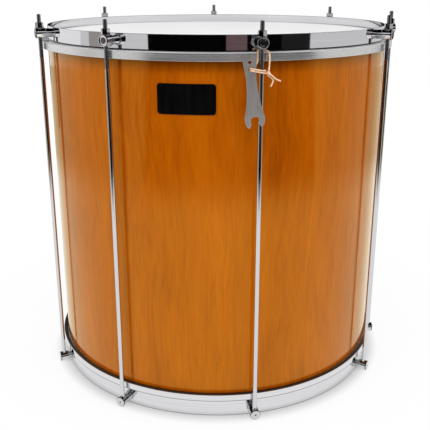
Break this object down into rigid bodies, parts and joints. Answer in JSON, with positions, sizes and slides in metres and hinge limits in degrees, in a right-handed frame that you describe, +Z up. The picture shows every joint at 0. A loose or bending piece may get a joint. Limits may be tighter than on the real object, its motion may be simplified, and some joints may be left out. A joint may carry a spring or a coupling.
{
  "type": "surdo",
  "caption": "Large two-headed bass drum: a varnished wooden shell, white heads, stepped chrome hoops, tension rods with tuning nuts, and a tuning key hanging on a string.",
  "frame": {"origin": "centre of the face that the drum stands on, on the shell's axis", "axes": "+Z up along the shell's axis; -Y towards the side with the badge and the key; +X to the right seen from there"},
  "size_m": [0.5338, 0.5427, 0.5404],
  "materials": {
    "shell_wood": "glossy orange-brown varnish over straight vertical grain",
    "head_film": "white film, faintly textured",
    "flesh_hoop_metal": "dull blackened steel",
    "hoop_chrome": "polished chrome plate",
    "rod_chrome": "polished chrome plate",
    "nut_chrome": "bright plated",
    "lug_chrome": "polished chrome plate",
    "badge_black": "gloss black, bare",
    "key_steel": "satin zinc plated",
    "string_cotton": "twisted beige cotton"
  },
  "bodies": {
    "drum": {"shell": "shell_wood", "top_head": "head_film", "top_flesh_hoop": "flesh_hoop_metal", "bottom_head": "head_film", "bottom_flesh_hoop": "flesh_hoop_metal", "bottom_hoop": "hoop_chrome", "badge_plate": "badge_black", "tension_rod_1": "rod_chrome", "tension_rod_2": "rod_chrome", "tension_rod_3": "rod_chrome", "tension_rod_4": "rod_chrome", "tension_rod_5": "rod_chrome", "tension_rod_6": "rod_chrome", "tension_rod_7": "rod_chrome", "tension_rod_8": "rod_chrome", "bottom_lug_1": "lug_chrome", "bottom_lug_2": "lug_chrome", "bottom_lug_3": "lug_chrome", "bottom_lug_4": "lug_chrome", "bottom_lug_5": "lug_chrome", "bottom_lug_6": "lug_chrome", "bottom_lug_7": "lug_chrome", "bottom_lug_8": "lug_chrome"},
    "top_hoop": {"top_hoop": "hoop_chrome", "nut_washers": "nut_chrome", "top_lug_1": "lug_chrome", "top_lug_2": "lug_chrome", "top_lug_3": "lug_chrome", "top_lug_4": "lug_chrome", "top_lug_5": "lug_chrome", "top_lug_6": "lug_chrome", "top_lug_7": "lug_chrome", "top_lug_8": "lug_chrome", "key_string": "string_cotton", "string_knot": "string_cotton", "string_tail_long": "string_cotton", "string_tail_short": "string_cotton"},
    "tuning_key": {"tuning_key": "key_steel"},
    "tuning_nut_1": {"tuning_nut_1": "nut_chrome"},
    "tuning_nut_2": {"tuning_nut_2": "nut_chrome"},
    "tuning_nut_3": {"tuning_nut_3": "nut_chrome"},
    "tuning_nut_4": {"tuning_nut_4": "nut_chrome"},
    "tuning_nut_5": {"tuning_nut_5": "nut_chrome"},
    "tuning_nut_6": {"tuning_nut_6": "nut_chrome"},
    "tuning_nut_7": {"tuning_nut_7": "nut_chrome"},
    "tuning_nut_8": {"tuning_nut_8": "nut_chrome"}
  },
  "joints": [
    {"name": "hoop_lift", "type": "slide", "parent": "drum", "child": "top_hoop", "axis": [0, 0, 1], "range_m": [0, 0.01]},
    {"name": "nut_1_turn", "type": "hinge", "parent": "top_hoop", "child": "tuning_nut_1", "pos_m": [-0.24529, -0.1016, 0.5262], "axis": [0, 0, 1], "range_deg": [0, 3600.1]},
    {"name": "nut_2_turn", "type": "hinge", "parent": "top_hoop", "child": "tuning_nut_2", "pos_m": [-0.13475, -0.22876, 0.5262], "axis": [0, 0, 1], "range_deg": [0, 3600.1]},
    {"name": "nut_3_turn", "type": "hinge", "parent": "top_hoop", "child": "tuning_nut_3", "pos_m": [0.05384, -0.25999, 0.5262], "axis": [0, 0, 1], "range_deg": [0, 3600.1]},
    {"name": "nut_4_turn", "type": "hinge", "parent": "top_hoop", "child": "tuning_nut_4", "pos_m": [0.23221, -0.12872, 0.5262], "axis": [0, 0, 1], "range_deg": [0, 3600.1]},
    {"name": "nut_5_turn", "type": "hinge", "parent": "top_hoop", "child": "tuning_nut_5", "pos_m": [0.2655, 0, 0.5262], "axis": [0, 0, 1], "range_deg": [0, 3600.1]},
    {"name": "nut_6_turn", "type": "hinge", "parent": "top_hoop", "child": "tuning_nut_6", "pos_m": [0.19916, 0.17558, 0.5262], "axis": [0, 0, 1], "range_deg": [0, 3600.1]},
    {"name": "nut_7_turn", "type": "hinge", "parent": "top_hoop", "child": "tuning_nut_7", "pos_m": [-0.00463, 0.26546, 0.5262], "axis": [0, 0, 1], "range_deg": [0, 3600.1]},
    {"name": "nut_8_turn", "type": "hinge", "parent": "top_hoop", "child": "tuning_nut_8", "pos_m": [-0.19637, 0.17869, 0.5262], "axis": [0, 0, 1], "range_deg": [0, 3600.1]},
    {"name": "key_swing", "type": "hinge", "parent": "top_hoop", "child": "tuning_key", "pos_m": [0.03994, -0.26634, 0.485], "axis": [0.2028, -0.9792, 0], "range_deg": [-30, 25]}
  ],
  "couplings": [
    {"joint": "nut_1_turn", "follows": "hoop_lift", "rad_per_m": 6283.2},
    {"joint": "nut_2_turn", "follows": "hoop_lift", "rad_per_m": 6283.2},
    {"joint": "nut_3_turn", "follows": "hoop_lift", "rad_per_m": 6283.2},
    {"joint": "nut_4_turn", "follows": "hoop_lift", "rad_per_m": 6283.2},
    {"joint": "nut_5_turn", "follows": "hoop_lift", "rad_per_m": 6283.2},
    {"joint": "nut_6_turn", "follows": "hoop_lift", "rad_per_m": 6283.2},
    {"joint": "nut_7_turn", "follows": "hoop_lift", "rad_per_m": 6283.2},
    {"joint": "nut_8_turn", "follows": "hoop_lift", "rad_per_m": 6283.2}
  ]
}
